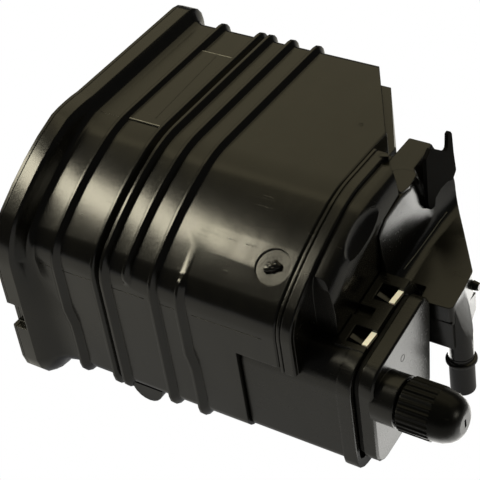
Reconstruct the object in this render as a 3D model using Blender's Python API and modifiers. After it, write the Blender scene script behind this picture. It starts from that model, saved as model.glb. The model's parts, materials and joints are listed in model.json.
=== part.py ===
"""Charcoal canister of a car's fuel vapour system, with its vent filter box, fresh air hood and pipe.

Axes while modelling: X runs from the welded end cover to the head, Y from the viewer's side (minus) to
the far side, and Z up. Zero is on the end cover's weld, at the far edge of the flat top. At the end
everything is moved so that the origin is under the middle of the whole object, at its lowest point.
"""
import math
from collections import namedtuple

import bmesh
import bpy
from mathutils import Matrix, Vector

MM = 0.001
GAP = 0.3 * MM

# Case moulding
CASE_LENGTH = 200 * MM
CASE_WIDTH = 209 * MM
CASE_HEIGHT = 144 * MM
WALL = 3 * MM
FAR_RADIUS = 6 * MM
BOTTOM_RADIUS = 9 * MM
SHOULDER_RADIUS = 72 * MM
SLOPE_RADIUS = 225 * MM
FRONT_RADIUS = 25.6 * MM
SLOPE_START = 19
SLOPE_END = 36
PARTITION_Y = -CASE_WIDTH + 91 * MM
PARTITION_START = 24 * MM

# The case's end, front and underside in plain millimetres, for outlines that are set off from them
END = CASE_LENGTH / MM
FRONT = -CASE_WIDTH / MM
LOW = -CASE_HEIGHT / MM

# Flange of the case and the welded cover
FLANGE_RIM = 10 * MM
FLANGE_FILLET = 8.5 * MM
FLANGE_REACH = ((0, 10 * MM), (8, 11.5 * MM), (21, 15 * MM), (90, 15 * MM), (180, 13.5 * MM), (270, 10 * MM))
FLANGE_EDGE = ((0, 1), (0.06, 0.93), (0.22, 0.76), (0.36, 0.5), (0.5, 0.24), (0.7, 0.08), (1, 0))
SWELL = 1.4
SWELL_TOP = -62 * MM
SWELL_FULL = -92 * MM
END_COVER = 3.5 * MM
COVER_FIELD_EDGE = 12.5
COVER_FIELD_GAP = 8
COVER_FIELD_ROWS = ((0.69, 0.375), (0.32, 0.085))
NOTCH_TOP = -88 * MM
NOTCH_HEIGHT = 20 * MM
NOTCH_DEPTH = 6 * MM
NOTCH_LENGTH = 9 * MM

# Ribs moulded round the case, placed by their share of its length
RIB_HEIGHT = 4.5 * MM
RIB_HALF = 3.7 * MM
BEAD = ((-1, 0), (-0.62, 0.5), (-0.26, 0.95), (0.26, 0.95), (0.62, 0.5), (1, 0))
Rib = namedtuple("Rib", "share kind jog")
RIBS = (
    Rib(0.18, "full", 3.5 * MM),
    Rib(0.3365, "full", 0),
    Rib(0.3745, "full", 0),
    Rib(0.46, "upper", 0),
    Rib(0.56, "full", 0),
    Rib(0.66, "lower", 3 * MM),
)
JOG_TOP = -88 * MM
JOG_END = -104 * MM

# Pad, gate dish, lug and corner cuts of the case
PAD_FROM = (0.19 * CASE_LENGTH, -CASE_WIDTH + 91.5 * MM)
PAD_TO = (0.325 * CASE_LENGTH, -33 * MM)
PAD_RISE = 0.9 * MM
DISH_AT = (CASE_LENGTH - 14 * MM, -CASE_WIDTH + 27 * MM, -24 * MM)
DISH_RADIUS = 11.5 * MM
DISH_DEPTH = 0.9 * MM
GATE_RADIUS = 3.6 * MM
SLOPE_TILT = 30
LUG_X = 0.4375 * CASE_LENGTH
LUG_RADIUS = 12 * MM
LEDGE_Z = -18 * MM
POCKET_X = CASE_LENGTH - 31 * MM
POCKET_TOP = -77 * MM
POCKET_Y = -CASE_WIDTH + 81 * MM

# Head
HEAD_END = CASE_LENGTH + 26 * MM
BAND_END = CASE_LENGTH + 11 * MM
SHOULDER_STEP = 3 * MM
GROOVE = 1 * MM
HEAD_FAR = -CASE_WIDTH + 143 * MM
HEAD_FAR_TOP = -CASE_WIDTH + 125 * MM
HEAD_LOW = -CASE_HEIGHT + 6 * MM
HEAD_CAVITY_Y = -CASE_WIDTH + 87 * MM
HEAD_ROUNDING = ((-9, 0), (-6.4, 0.7), (-4.2, 2.6), (-2.3, 6), (-0.9, 10.5), (0, 17))
CORNER_LINE = ((CASE_LENGTH - 35 * MM, 0), (CASE_LENGTH - 1 * MM, HEAD_FAR + 9 * MM))
LEDGE_LINE = ((CASE_LENGTH - 42.5 * MM, 0), (CASE_LENGTH - 1 * MM, HEAD_FAR))
SCOOP_AT = (HEAD_END + 0.6 * MM, -CASE_WIDTH + 67.5 * MM, -17.8 * MM)
SCOOP_HALVES = (21.5 * MM, 11 * MM, 4.8 * MM)
SCOOP_FALL = 17
SCOOP_TILT = 48
HEAD_NEAR = ((FRONT + 41, -6, 0), (FRONT + 34.5, -19, 0), (FRONT + 31, -24.5, 0), (FRONT + 28.5, -31, 0),
             (FRONT + 27.5, -40, 0), (FRONT + 27.5, LOW - 6, 0), (FRONT - 20, LOW - 6, 0), (FRONT - 20, -6, 0))
BAR_PLAN = ((END + 6.5, FRONT + 117.5, 1.5), (END + 19.5, FRONT + 122.5, 1.5),
            (END + 20.5, FRONT + 127, 1.5), (END + 8, FRONT + 122, 1.5))
BAR_TOP = 0.5 * MM

# Vent filter box, its collar, cover and cap
BOX_END = CASE_LENGTH + 36.5 * MM
COLLAR_END = CASE_LENGTH + 46.5 * MM
SEAL_END = CASE_LENGTH + 49.8 * MM
COVER_END = CASE_LENGTH + 60 * MM
BOX_WALL = 2.5 * MM
BOX_CORNERS = ((FRONT + 80, -56, 8), (FRONT + 3, -69.5, 20), (FRONT + 3, LOW, 8), (FRONT + 73, LOW, 14))
COLLAR_CORNERS = ((FRONT + 91.2, -53, 14), (FRONT + 2.2, -68.6, 20),
                  (FRONT + 2.2, LOW - 6, 11), (FRONT + 78, LOW - 6, 16))
COVER_CORNERS = ((FRONT + 80, -56.2, 9), (FRONT + 5.5, -69.5, 16),
                 (FRONT + 4.5, LOW + 3, 10), (FRONT + 71.5, LOW + 11, 14))
SEAL_RECESS = 2 * MM
LATCH_PLATE_X = CASE_LENGTH + 26.5 * MM
LATCH_PLATE_Y = (-CASE_WIDTH + 22 * MM, -CASE_WIDTH + 80 * MM)
LATCH_PLATE_RISE = 1.6 * MM
LATCH_Y = (-CASE_WIDTH + 66 * MM, -CASE_WIDTH + 32.5 * MM)
LATCH_WINDOW = (14.5 * MM, 12.5 * MM)
LATCH_LENGTH = 3.8 * MM
LATCH_THICK = 2.2 * MM
PLATE_NOTCH = (11 * MM, 4 * MM, 1.2 * MM)
CAP_Y = -CASE_WIDTH + 19.9 * MM
CAP_Z = -92 * MM
CAP_RADIUS = 17 * MM
CAP_BORE = 13 * MM
CAP_RIBS = 26
CAP_RIB_HEIGHT = 0.9 * MM
CAP_START = CASE_LENGTH + 74.5 * MM
CAP_BAND_END = CASE_LENGTH + 95 * MM
CAP_END = CASE_LENGTH + 112 * MM
NECK_END = CASE_LENGTH + 73 * MM
SPIGOT_RADIUS = 12.6 * MM
SPIGOT_BORE = 9 * MM
SPIGOT_END = CASE_LENGTH + 88 * MM

# Fresh air hood and pipe. Each section: y, its top edge (x, z), the foot of its end wall and its shelf
HOOD_START = CASE_LENGTH + 3 * MM
HOOD_END = CASE_LENGTH + 73 * MM
HOOD_SECTIONS = (
    (FRONT + 63, END + 27, -40, END + 29.5, -74),
    (FRONT + 75, END + 27, -30, END + 30, -71.5),
    (FRONT + 90, END + 27.2, -20.3, END + 30.5, -68.5),
    (FRONT + 109, END + 27.6, -17.3, END + 31, -64.5),
    (FRONT + 118, END + 28.7, -17.3, END + 31.5, -62.5),
    (FRONT + 131, END + 26.5, -17.6, END + 32.5, -59.5),
    (FRONT + 138, END + 21, -18, END + 33.5, -58),
    (FRONT + 176, END + 19, -18, END + 36, -52),
)
HOOD_PLAN = ((END + 3, FRONT + 164, 1), (END + 33.5, FRONT + 164, 3), (END + 71.5, FRONT + 112, 3),
             (END + 72.5, FRONT + 99, 4), (END + 72.5, FRONT + 82, 3), (END + 50.8, FRONT + 81.5, 2),
             (END + 50, FRONT + 92, 1), (END + 37, FRONT + 92, 4), (END + 29.5, FRONT + 80.6, 3),
             (END + 26.3, FRONT + 80.6, 1), (END + 26.3, FRONT + 109, 1), (END + 18.5, FRONT + 115, 2),
             (END + 11.5, FRONT + 124.4, 1), (END + 3, FRONT + 124.4, 1))
HOOD_FLOOR = -84 * MM
HOOD_WALL = 2.5 * MM
HOOD_WINDOW = (-CASE_WIDTH + 109 * MM, -74.5 * MM)
HOOD_WINDOW_RADIUS = 6.2 * MM
PIPE_X = CASE_LENGTH + 70.5 * MM
PIPE_Y = -CASE_WIDTH + 93.5 * MM
PIPE_RADIUS = 8.2 * MM
PIPE_BORE = 6.2 * MM
PIPE_BEAD = 10.1 * MM
PIPE_START = -116.5 * MM
PIPE_BEAD_Z = -120.8 * MM
PIPE_END = -146.5 * MM
PIPE_SHOULDER = ((1.3, -70.5), (9.5, -70.5), (9.5, -108))
PIPE_WAY_TOP = -97.5 * MM
ELBOW_START = CASE_LENGTH + 51 * MM
ELBOW_SIDE = ((FRONT + 81.5, -82), (FRONT + 82.5, -103.6), (FRONT + 103, -103.6),
              (FRONT + 113, -94.5), (FRONT + 113.5, -82))
BOSS_PLAN = ((END + 10.2, FRONT + 128.6, 2), (END + 15.6, FRONT + 132.4, 2), (END + 23.8, FRONT + 133, 2),
             (END + 26.4, FRONT + 130, 2), (END + 28, FRONT + 118, 3), (END + 26.4, FRONT + 110, 1.4),
             (END + 19, FRONT + 115.8, 2), (END + 12, FRONT + 125.4, 2))
BOSS_TOP = -16.4 * MM
STUD_AT = (CASE_LENGTH + 71.5 * MM, -CASE_WIDTH + 111.5 * MM, -74.4 * MM)
STUD_RADIUS = 3.3 * MM
STUD_LENGTH = 4.5 * MM

# Bracket on the hood and the ports on the head's far wall
BRACKET_X = CASE_LENGTH + 31.2 * MM
BRACKET_THICK = 2.5 * MM
BRACKET_OUTLINE = ((FRONT + 164, -6, 1.2), (FRONT + 164.8, -21, 0), (FRONT + 166.7, -36, 2),
                   (FRONT + 161.7, -40.1, 2), (FRONT + 155, -36.8, 3), (FRONT + 146, -36.2, 3),
                   (FRONT + 139, -38.4, 2), (FRONT + 137.5, -44, 1.5), (FRONT + 131.5, -42.5, 2),
                   (FRONT + 129.4, -36, 2), (FRONT + 130.2, -13.8, 3), (FRONT + 130.7, -3, 2),
                   (FRONT + 137, 1.1, 2), (FRONT + 147, -7, 3), (FRONT + 157.5, -15.6, 2.5),
                   (FRONT + 159.2, -3.2, 1), (FRONT + 162.2, -3, 1))
PORT_X = CASE_LENGTH + 13 * MM
PORT_START = HEAD_FAR + GAP
PORT_LENGTH = 30 * MM
TANK_PORT = (-96 * MM, 6.2 * MM)
PURGE_PORT = (-119 * MM, 5.5 * MM)

Spot = namedtuple("Spot", "y z normal side")


def new_collection(name):
    collection = bpy.data.collections.new(name)
    bpy.context.scene.collection.children.link(collection)
    return collection


def new_material(name, colour, roughness, metallic=0.0):
    material = bpy.data.materials.new(name)
    material.use_nodes = True
    shader = material.node_tree.nodes["Principled BSDF"]
    shader.inputs["Base Color"].default_value = (*colour, 1)
    shader.inputs["Roughness"].default_value = roughness
    shader.inputs["Metallic"].default_value = metallic
    return material


for old in list(bpy.data.objects):
    bpy.data.objects.remove(old)

PARTS = new_collection("charcoal_canister")
CUTTERS = new_collection("cutters")

# Materials
NYLON = (0.035, 0.034, 0.03)
MATERIALS = {
    "case": new_material("case_nylon", NYLON, 0.34),
    "cover": new_material("cover_nylon", (0.03, 0.03, 0.028), 0.36),
    "head": new_material("head_nylon", (0.032, 0.032, 0.028), 0.35),
    "box": new_material("box_nylon", (0.03, 0.03, 0.027), 0.36),
    "hood": new_material("hood_nylon", (0.03, 0.03, 0.027), 0.33),
    "cap": new_material("cap_nylon", (0.012, 0.012, 0.012), 0.4),
    "bracket": new_material("bracket_steel", (0.01, 0.01, 0.011), 0.38, 0.4),
    "natural": new_material("natural_nylon", (0.75, 0.68, 0.5), 0.4),
    "rubber": new_material("seal_rubber", (0.01, 0.01, 0.01), 0.7),
    "foam": new_material("filter_foam", (0.16, 0.16, 0.17), 0.9),
    "fleece": new_material("fleece", (0.55, 0.55, 0.52), 0.95),
    "carbon": new_material("carbon", (0.008, 0.008, 0.008), 0.85),
    "spring": new_material("spring_steel", (0.5, 0.5, 0.5), 0.3, 1.0),
}


# Helpers
def finish(name, mesh, material):
    """Put a mesh into the scene as a sub-part, or as a cutter where it has no material."""
    mesh.name = name
    thing = bpy.data.objects.new(name, mesh)
    if material:
        mesh.materials.clear()
        mesh.materials.append(MATERIALS[material])
        PARTS.objects.link(thing)
    else:
        CUTTERS.objects.link(thing)
        thing.hide_render = True
        thing.display_type = "WIRE"
    mesh.shade_smooth()
    mesh.set_sharp_from_angle(angle=math.radians(32))
    return thing


def tidy(bm, name, material):
    bmesh.ops.remove_doubles(bm, verts=bm.verts, dist=0.00002)
    bmesh.ops.delete(bm, geom=[edge for edge in bm.edges if edge.is_wire], context="EDGES")
    bmesh.ops.recalc_face_normals(bm, faces=bm.faces)
    mesh = bpy.data.meshes.new(name)
    bm.to_mesh(mesh)
    bm.free()
    return finish(name, mesh, material)


def loft(name, rings, material=None):
    """Skin a row of closed rings that hold the same number of points, and cap both ends."""
    bm = bmesh.new()
    rows = [[bm.verts.new(point) for point in ring] for ring in rings]
    for row, following in zip(rows, rows[1:]):
        for i in range(len(row)):
            j = (i + 1) % len(row)
            bm.faces.new((row[i], row[j], following[j], following[i]))
    bm.faces.new(rows[0])
    bm.faces.new(rows[-1])
    return tidy(bm, name, material)


ALONG = {
    "X": Matrix(((0, 0, 1), (1, 0, 0), (0, 1, 0))),
    "Y": Matrix(((1, 0, 0), (0, 0, -1), (0, 1, 0))),
    "Z": Matrix.Identity(3),
}


def slab(name, outline, low, high, axis, material=None):
    """A flat outline drawn out to a thickness. It lies in YZ for axis X, XZ for Y and XY for Z."""
    bm = bmesh.new()
    face = bm.faces.new([bm.verts.new((point[0], point[1], 0)) for point in outline])
    face.normal_update()
    grown = bmesh.ops.extrude_face_region(bm, geom=[face])
    risen = [part for part in grown["geom"] if isinstance(part, bmesh.types.BMVert)]
    bmesh.ops.translate(bm, vec=(0, 0, high - low), verts=risen)
    start = {"X": (low, 0, 0), "Y": (0, high, 0), "Z": (0, 0, low)}[axis]
    bmesh.ops.transform(bm, matrix=Matrix.Translation(start) @ ALONG[axis].to_4x4(), verts=bm.verts)
    return tidy(bm, name, material)


def block(name, low, high, material=None):
    """A box between two opposite corners."""
    bm = bmesh.new()
    bmesh.ops.create_cube(bm, size=1)
    low, high = Vector(low), Vector(high)
    size = high - low
    bmesh.ops.scale(bm, vec=size, verts=bm.verts)
    bmesh.ops.translate(bm, vec=(low + high) / 2, verts=bm.verts)
    return tidy(bm, name, material)


def rod(name, start, end, radius, material=None, sides=24, end_radius=None):
    """A round rod or cone between two points."""
    start, end = Vector(start), Vector(end)
    way = end - start
    bm = bmesh.new()
    bmesh.ops.create_cone(bm, cap_ends=True, segments=sides, radius1=radius,
                          radius2=radius if end_radius is None else end_radius, depth=way.length)
    turn = way.to_track_quat("Z", "Y").to_matrix().to_4x4()
    bmesh.ops.transform(bm, matrix=Matrix.Translation((start + end) / 2) @ turn, verts=bm.verts)
    return tidy(bm, name, material)


def turned(name, profile, place, material=None, steps=28):
    """A closed profile of (radius, height) pairs turned about its local Z."""
    bm = bmesh.new()
    row = [bm.verts.new((radius, 0, height)) for radius, height in profile]
    for i in range(len(row)):
        bm.edges.new((row[i], row[(i + 1) % len(row)]))
    mesh = bpy.data.meshes.new(name)
    bm.to_mesh(mesh)
    bm.free()
    drawn = bpy.data.objects.new(name, mesh)
    CUTTERS.objects.link(drawn)
    screw = drawn.modifiers.new("Screw", "SCREW")
    screw.axis = "Z"
    screw.steps = steps
    screw.render_steps = steps
    screw.use_merge_vertices = True
    screw.merge_threshold = 0.00001
    solid = bpy.data.meshes.new_from_object(drawn.evaluated_get(bpy.context.evaluated_depsgraph_get()))
    bpy.data.objects.remove(drawn)
    bm = bmesh.new()
    bm.from_mesh(solid)
    bpy.data.meshes.remove(solid)
    bmesh.ops.transform(bm, matrix=place, verts=bm.verts)
    return tidy(bm, name, material)


def combine(thing, tool, operation, solver="EXACT"):
    """Cut a cutter out of a sub-part, join it on, or keep what both share."""
    change = thing.modifiers.new(operation.title(), "BOOLEAN")
    change.operation = operation
    change.object = tool
    change.solver = solver
    return thing


def cut(thing, *tools):
    for tool in tools:
        combine(thing, tool, "DIFFERENCE")
    return thing


def join(thing, *tools):
    for tool in tools:
        combine(thing, tool, "UNION")
    return thing


def arc_points(centre, radius, start, sweep, pieces, first=True):
    """Points along an arc, angles in degrees."""
    points = []
    for i in range(0 if first else 1, pieces + 1):
        angle = math.radians(start + sweep * i / pieces)
        points.append((centre[0] + radius * math.cos(angle), centre[1] + radius * math.sin(angle)))
    return points


def rounded(corners, pieces=4, grow=0.0, unit=MM):
    """A polygon of (x, y, radius) corners with round corners, moved out by grow."""
    spots = [Vector((x, y)) * unit for x, y, radius in corners]
    area = sum(a.x * b.y - b.x * a.y for a, b in zip(spots, spots[1:] + spots[:1]))
    turn = 1 if area > 0 else -1
    points = []
    count = len(spots)
    for i, spot in enumerate(spots):
        before = (spot - spots[i - 1]).normalized()
        after = (spots[(i + 1) % count] - spot).normalized()
        bend = math.atan2(before.cross(after), before.dot(after))
        radius = max(corners[i][2] * unit + (grow if bend * turn > 0 else -grow), 0.0)
        half = abs(bend) / 2
        outward = Vector((before.y, -before.x)) * turn
        outward_after = Vector((after.y, -after.x)) * turn
        corner = spot + (outward + outward_after) * grow / (1 + outward.dot(outward_after))
        if radius < 0.6 * MM or half < 0.02:
            points.append(tuple(corner))
            continue
        side = 1 if bend * turn > 0 else -1
        centre = corner - (outward + outward_after) * side * radius / (1 + outward.dot(outward_after))
        start = math.degrees(math.atan2(outward.y * side, outward.x * side))
        points += arc_points(centre, radius, start, math.degrees(bend), pieces)
    return points


def ease(value, low, high):
    """Smooth share of the way from low to high."""
    share = min(max((value - low) / (high - low), 0), 1)
    return share * share * (3 - 2 * share)


# Outline of the case across its length
def case_outline():
    """The case's section, walked from the far top corner: flat top, long slope, front, bottom, far side."""
    spots = []
    at = Vector((-FAR_RADIUS, 0))
    heading = 180.0

    def line(length, pieces, side):
        nonlocal at
        way = Vector((math.cos(math.radians(heading)), math.sin(math.radians(heading))))
        start = at.copy()
        for i in range(1, pieces + 1):
            at = start + way * length * i / pieces
            spots.append(Spot(at.x, at.y, heading - 90, side))

    def arc(radius, turn, pieces, side):
        nonlocal at, heading
        first = heading
        normal = math.radians(first - 90)
        centre = at - Vector((math.cos(normal), math.sin(normal))) * radius
        for i in range(1, pieces + 1):
            heading = first + turn * i / pieces
            normal = math.radians(heading - 90)
            at = centre + Vector((math.cos(normal), math.sin(normal))) * radius
            spots.append(Spot(at.x, at.y, heading - 90, side))

    turned_in = [math.sin(math.radians(angle)) for angle in (0, SLOPE_START, SLOPE_END, 90)]
    reach = sum(radius * (after - before) for radius, before, after in
                zip((SHOULDER_RADIUS, SLOPE_RADIUS, FRONT_RADIUS), turned_in, turned_in[1:]))
    line(CASE_WIDTH - reach - FAR_RADIUS, 1, "top")
    arc(SHOULDER_RADIUS, SLOPE_START, 4, "slope")
    arc(SLOPE_RADIUS, SLOPE_END - SLOPE_START, 4, "slope")
    arc(FRONT_RADIUS, 90 - SLOPE_END, 8, "slope")
    front = CASE_HEIGHT - BOTTOM_RADIUS + at.y
    line(front, 7, "front")
    arc(BOTTOM_RADIUS, 90, 4, "front")
    line(CASE_WIDTH - BOTTOM_RADIUS - FAR_RADIUS, 3, "bottom")
    arc(FAR_RADIUS, 90, 3, "bottom")
    line(CASE_HEIGHT - 2 * FAR_RADIUS, 2, "far")
    arc(FAR_RADIUS, 90, 4, "far")
    return spots


CASE = case_outline()


def moved_out(spot, distance):
    normal = math.radians(spot.normal)
    return spot.y + distance * math.cos(normal), spot.z + distance * math.sin(normal)


def section(distance, x):
    """The case's section, moved out by a distance, at one place along the length."""
    return [(x, *moved_out(spot, distance)) for spot in CASE]


def flange_reach(spot):
    """How far the flange stands out, by the way that the wall faces: 0 up, 90 to the viewer, 180 down."""
    facing = (spot.normal - 90) % 360
    for (low, near), (high, far) in zip(FLANGE_REACH, FLANGE_REACH[1:]):
        if low <= facing <= high:
            return near + (far - near) * (facing - low) / (high - low)
    last = FLANGE_REACH[-1]
    return last[1]


def swell(spot):
    """The flange's fillet runs out longer on the lower front."""
    if spot.side == "front":
        return 1 + SWELL * (1 - ease(spot.z, SWELL_FULL, SWELL_TOP))
    if spot.side == "bottom":
        return 1 + SWELL * ease(-spot.y, 0, CASE_WIDTH)
    return 1


def rib_share(rib, spot):
    """How much of its height a rib has at a place round the case."""
    if rib.kind == "full":
        return 1
    if rib.kind == "upper":
        return ease(spot.z, -52 * MM, -44 * MM) if spot.side in ("top", "slope", "far") else 0
    if spot.side in ("top", "far"):
        return 0
    if spot.side == "bottom":
        return ease(-spot.y, 0.4 * CASE_WIDTH, CASE_WIDTH)
    return 1 - ease(spot.z, -40 * MM, -33 * MM)


def rib_jog(rib, spot):
    if spot.side == "front":
        return rib.jog * (1 - ease(spot.z, JOG_END, JOG_TOP))
    if spot.side == "bottom":
        return rib.jog * ease(-spot.y, 0, CASE_WIDTH)
    return 0


def case_rings():
    rings = [[(0, *moved_out(spot, flange_reach(spot))) for spot in CASE]]
    for step, share in FLANGE_EDGE:
        ring = []
        for spot in CASE:
            x = FLANGE_RIM + FLANGE_FILLET * step * swell(spot)
            ring.append((x, *moved_out(spot, flange_reach(spot) * share)))
        rings.append(ring)
    for rib in RIBS:
        for step, share in BEAD:
            ring = []
            for spot in CASE:
                x = rib.share * CASE_LENGTH + RIB_HALF * step + rib_jog(rib, spot)
                ring.append((x, *moved_out(spot, RIB_HEIGHT * share * rib_share(rib, spot))))
            rings.append(ring)
    rings.append(section(0, CASE_LENGTH - 1 * MM))
    rings.append(section(-0.8 * MM, CASE_LENGTH))
    return rings


def beyond(line, far=60 * MM, back=40 * MM):
    """The plan outline of all that lies past a slanting line, on its head and far side."""
    (ax, ay), (bx, by) = line
    way = Vector((bx - ax, by - ay)).normalized()
    start = Vector((ax, ay)) - way * back
    end = Vector((bx, by))
    return [tuple(start), tuple(end), (bx + far, by), (bx + far, start.y)]


def shifted(line, distance):
    """A slanting plan line moved towards the case's inside."""
    (ax, ay), (bx, by) = line
    way = Vector((bx - ax, by - ay)).normalized()
    inward = Vector((way.y, -way.x)) * distance
    return ((ax + inward.x, ay + inward.y), (bx + inward.x, by + inward.y))


def chamber_outline(inset, side):
    """The inside of the case on one side of the partition: main is the far side, vent the near one."""
    points = [moved_out(spot, -inset) for spot in CASE]
    edge = PARTITION_Y + (inset if side == "main" else -inset) / 2
    keep = (lambda y: y >= edge) if side == "main" else (lambda y: y <= edge)
    result = []
    for a, b in zip(points, points[1:] + points[:1]):
        if keep(a[0]):
            result.append(a)
        if keep(a[0]) != keep(b[0]):
            share = (edge - a[0]) / (b[0] - a[0])
            result.append((edge, a[1] + (b[1] - a[1]) * share))
    return [b for a, b in zip(result[-1:] + result[:-1], result) if (Vector(a) - Vector(b)).length > 0.05 * MM]


def build_case():
    case = loft("canister_case", case_rings(), "case")
    cavity = loft("case_cavity", [section(-WALL, -2 * MM), section(-WALL, CASE_LENGTH - WALL)])
    pocket_low = (POCKET_X, -CASE_WIDTH - 20 * MM, -CASE_HEIGHT - 20 * MM)
    pocket_high = (CASE_LENGTH + 20 * MM, POCKET_Y, POCKET_TOP)
    cavity_keep = block("pocket_wall", (POCKET_X - WALL, pocket_low[1], pocket_low[2]),
                        (CASE_LENGTH + 20 * MM, POCKET_Y + WALL, POCKET_TOP + WALL))
    corner_wall = slab("corner_wall", beyond(shifted(LEDGE_LINE, WALL)), -CASE_HEIGHT - 10 * MM, 10 * MM, "Z")
    cut(cavity, cavity_keep, corner_wall)
    ledge = slab("ledge_cutter", beyond(LEDGE_LINE), LEDGE_Z, 30 * MM, "Z")
    corner = slab("corner_cutter", beyond(CORNER_LINE), -CASE_HEIGHT - 10 * MM, 20 * MM, "Z")
    pocket = block("pocket_cutter", pocket_low, pocket_high)
    partition = block("partition", (PARTITION_START, PARTITION_Y - WALL / 2, -CASE_HEIGHT + WALL / 2),
                      (CASE_LENGTH - WALL / 2, PARTITION_Y + WALL / 2, -WALL / 2))
    cut(case, cavity)
    join(case, partition)
    cut(case, corner, ledge, pocket)
    windows = (("main_window", HEAD_FAR - 14 * MM, -70 * MM), ("vent_window", -CASE_WIDTH + 49 * MM, -45 * MM))
    for name, y, z in windows:
        cut(case, rod(name, (CASE_LENGTH - 8 * MM, y, z), (CASE_LENGTH + 5 * MM, y, z), 14 * MM, sides=20))
    pad = block("pad", (*PAD_FROM, -1 * MM), (*PAD_TO, PAD_RISE))
    lug = rod("lug", (LUG_X, -CASE_WIDTH + 2 * MM, -CASE_HEIGHT + 2 * MM),
              (LUG_X, -CASE_WIDTH + 20 * MM, -CASE_HEIGHT + 2 * MM), LUG_RADIUS, sides=20)
    inside = block("lug_trim", (LUG_X - 20 * MM, -CASE_WIDTH, -CASE_HEIGHT + 2.4 * MM),
                   (LUG_X + 20 * MM, -CASE_WIDTH + 30 * MM, -CASE_HEIGHT + 30 * MM))
    cut(lug, inside)
    join(case, pad, lug)
    tilt = math.radians(SLOPE_TILT)
    up = Vector((0, -math.sin(tilt), math.cos(tilt)))
    dish_at = Vector(DISH_AT)
    cut(case, rod("dish", dish_at - up * DISH_DEPTH, dish_at + up * 6 * MM, DISH_RADIUS, sides=28))
    join(case, rod("gate", dish_at - up * 2 * MM, dish_at + up * 0.6 * MM, GATE_RADIUS, sides=14))
    notch_low = (-5 * MM, -CASE_WIDTH - 30 * MM, NOTCH_TOP - NOTCH_HEIGHT)
    notch_high = (NOTCH_LENGTH, -CASE_WIDTH - flange_reach(Spot(0, 0, 180, "front")) + NOTCH_DEPTH, NOTCH_TOP)
    cut(case, block("notch", notch_low, notch_high))
    return case


def build_end_cover():
    def ring(x, inset):
        return [(x, *moved_out(spot, flange_reach(spot) - inset)) for spot in CASE]

    cover = loft("end_cover", [ring(-END_COVER, 1 * MM), ring(-END_COVER + 0.8 * MM, 0), ring(-GAP, 0)], "cover")
    land = loft("cover_land", [section(-WALL - 0.5 * MM, -1 * MM), section(-WALL - 0.5 * MM, 4 * MM)])
    hollow = loft("land_hollow", [section(-WALL - 3 * MM, -GAP), section(-WALL - 3 * MM, 6 * MM)])
    cut(land, hollow)
    join(cover, land)
    wide = (-FRONT - 2 * COVER_FIELD_EDGE - 2 * COVER_FIELD_GAP) / 3
    for i, (low_share, high_share) in enumerate(COVER_FIELD_ROWS):
        low_z, high_z = low_share * LOW, high_share * LOW
        for j in range(3):
            if i == 1 and j == 0:
                continue
            low_y = FRONT + COVER_FIELD_EDGE + j * (wide + COVER_FIELD_GAP)
            high_y = low_y + wide
            corners = ((low_y, low_z, 5), (high_y, low_z, 5), (high_y, high_z, 5), (low_y, high_z, 5))
            cut(cover, slab("cover_field_%d%d" % (i, j), rounded(corners, 2), -8 * MM, -END_COVER + 1.4 * MM, "X"))
    notch_low = (-9 * MM, -CASE_WIDTH - 30 * MM, NOTCH_TOP - NOTCH_HEIGHT)
    notch_high = (6 * MM, -CASE_WIDTH - flange_reach(Spot(0, 0, 180, "front")) + NOTCH_DEPTH, NOTCH_TOP)
    cut(cover, block("cover_notch", notch_low, notch_high))
    return cover


# Inside of the case
BED_GAP = 0.8 * MM
PLATE_X = 30 * MM
PLATE_THICK = 4 * MM
FOAM = 5 * MM
MAIN_BED_END = CASE_LENGTH - WALL - 2 * BED_GAP - FOAM
VENT_BED_END = POCKET_X - WALL - 2 * BED_GAP - FOAM
SPRING_RADIUS = 11 * MM
SPRING_WIRE = 1 * MM
SPRING_TURNS = 5


def build_chamber(side, bed_end, holes):
    outline = chamber_outline(WALL + BED_GAP, side)
    corner = slab(side + "_bed_corner", beyond(shifted(LEDGE_LINE, WALL + BED_GAP)),
                  -CASE_HEIGHT - 10 * MM, 10 * MM, "Z")
    plate = slab(side + "_grid_plate", outline, PLATE_X, PLATE_X + PLATE_THICK, "X", "natural")
    for y, z in holes:
        hole = rod("%s_hole_%d_%d" % (side, y, -z), (PLATE_X - 2 * MM, y * MM, z * MM),
                   (PLATE_X + PLATE_THICK + 2 * MM, y * MM, z * MM), 7 * MM, sides=10)
        cut(plate, hole)
    rear = PLATE_X + PLATE_THICK + GAP
    slab(side + "_rear_fleece", outline, rear, rear + FOAM, "X", "fleece")
    bed = slab(side + "_carbon_bed", outline, rear + FOAM + GAP, bed_end, "X", "carbon")
    foam = slab(side + "_front_fleece", outline, bed_end + GAP, bed_end + GAP + FOAM, "X", "fleece")
    if side == "main":
        cut(bed, corner)
        cut(foam, corner)


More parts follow.
